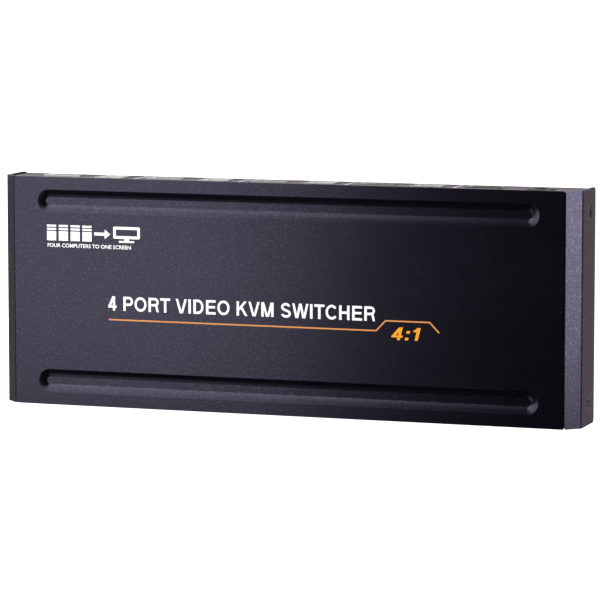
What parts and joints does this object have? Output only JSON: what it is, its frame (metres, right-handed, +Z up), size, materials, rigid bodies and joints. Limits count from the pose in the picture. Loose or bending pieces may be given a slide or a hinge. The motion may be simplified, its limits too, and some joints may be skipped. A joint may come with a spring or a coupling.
{
  "type": "kvm switch",
  "caption": "Desk switch in a flat bent-steel case with chamfered ends, grooved lid, rear video and host sockets, and front select buttons.",
  "frame": {"origin": "middle of the case's plan, on the surface that the feet stand on", "axes": "+X along the case to the end with the power jack, +Y to the rear panel with the video and host sockets, +Z up through the lid"},
  "size_m": [0.235, 0.09, 0.026],
  "materials": {
    "cover_paint": "satin black powder coat with a fine grain",
    "tray_paint": "satin black powder coat with a fine grain",
    "screw_black": "black oxide steel, worn bright in the cross",
    "screw_steel": "zinc-plated steel",
    "rubber_black": "matt rubber",
    "board_green": "solder mask",
    "shell_steel": "nickel-plated steel, satin",
    "insert_black": "moulded nylon",
    "insert_white": "moulded nylon",
    "contact_gold": "gold-plated contacts",
    "jack_black": "moulded black plastic",
    "pin_nickel": "nickel-plated pin",
    "button_black": "fine spark texture",
    "switch_plastic": "moulded plastic",
    "lamp_blue": "tinted clear lens",
    "lamp_red": "tinted clear lens",
    "window_red": "dark red clear plastic",
    "chip_black": "moulded epoxy",
    "pad_grey": "soft silicone",
    "sink_black": "black anodised",
    "can_aluminium": "satin",
    "coil_grey": "ferrite",
    "ink_white": "screen-printed white ink",
    "ink_orange": "screen-printed orange ink",
    "spring_steel": "bare spring steel"
  },
  "bodies": {
    "case": {"base_tray": "tray_paint", "board_screws": "screw_steel", "board_standoffs": "screw_steel", "capacitors": "can_aluminium", "cover_screws": "screw_black", "crystal": "can_aluminium", "device_1_insert": "insert_black", "device_1_shell": "shell_steel", "device_2_insert": "insert_black", "device_2_shell": "shell_steel", "device_3_insert": "insert_black", "device_3_shell": "shell_steel", "device_4_insert": "insert_black", "device_4_shell": "shell_steel", "device_contacts": "contact_gold", "heat_sink": "sink_black", "host_1_insert": "insert_white", "host_1_shell": "shell_steel", "host_2_insert": "insert_white", "host_2_shell": "shell_steel", "host_3_insert": "insert_white", "host_3_shell": "shell_steel", "host_4_insert": "insert_white", "host_4_shell": "shell_steel", "host_contacts": "contact_gold", "inductors": "coil_grey", "ir_receiver": "chip_black", "ir_window": "window_red", "led_holders": "switch_plastic", "main_board": "board_green", "port_leds": "lamp_blue", "power_jack_body": "jack_black", "power_jack_pin": "pin_nickel", "power_led": "lamp_red", "rubber_feet": "rubber_black", "small_chips": "chip_black", "switch_bodies": "switch_plastic", "switch_chip": "chip_black", "thermal_pad": "pad_grey", "top_cover": "cover_paint", "video_contacts": "contact_gold", "video_in_1_insert": "insert_black", "video_in_1_shell": "shell_steel", "video_in_2_insert": "insert_black", "video_in_2_shell": "shell_steel", "video_in_3_insert": "insert_black", "video_in_3_shell": "shell_steel", "video_in_4_insert": "insert_black", "video_in_4_shell": "shell_steel", "video_out_insert": "insert_black", "video_out_shell": "shell_steel"},
    "button_1": {"select_button_1": "button_black", "switch_plunger_1": "switch_plastic"},
    "button_2": {"select_button_2": "button_black", "switch_plunger_2": "switch_plastic"},
    "button_3": {"select_button_3": "button_black", "switch_plunger_3": "switch_plastic"},
    "button_4": {"select_button_4": "button_black", "switch_plunger_4": "switch_plastic"}
  },
  "joints": [
    {"name": "button_1_press", "type": "slide", "parent": "case", "child": "button_1", "axis": [0, 1, 0], "range_m": [0, 0.0005], "stiffness_N_per_m": 1000, "springref_m": -0.0008},
    {"name": "button_2_press", "type": "slide", "parent": "case", "child": "button_2", "axis": [0, 1, 0], "range_m": [0, 0.0005], "stiffness_N_per_m": 1000, "springref_m": -0.0008},
    {"name": "button_3_press", "type": "slide", "parent": "case", "child": "button_3", "axis": [0, 1, 0], "range_m": [0, 0.0005], "stiffness_N_per_m": 1000, "springref_m": -0.0008},
    {"name": "button_4_press", "type": "slide", "parent": "case", "child": "button_4", "axis": [0, 1, 0], "range_m": [0, 0.0005], "stiffness_N_per_m": 1000, "springref_m": -0.0008}
  ]
}
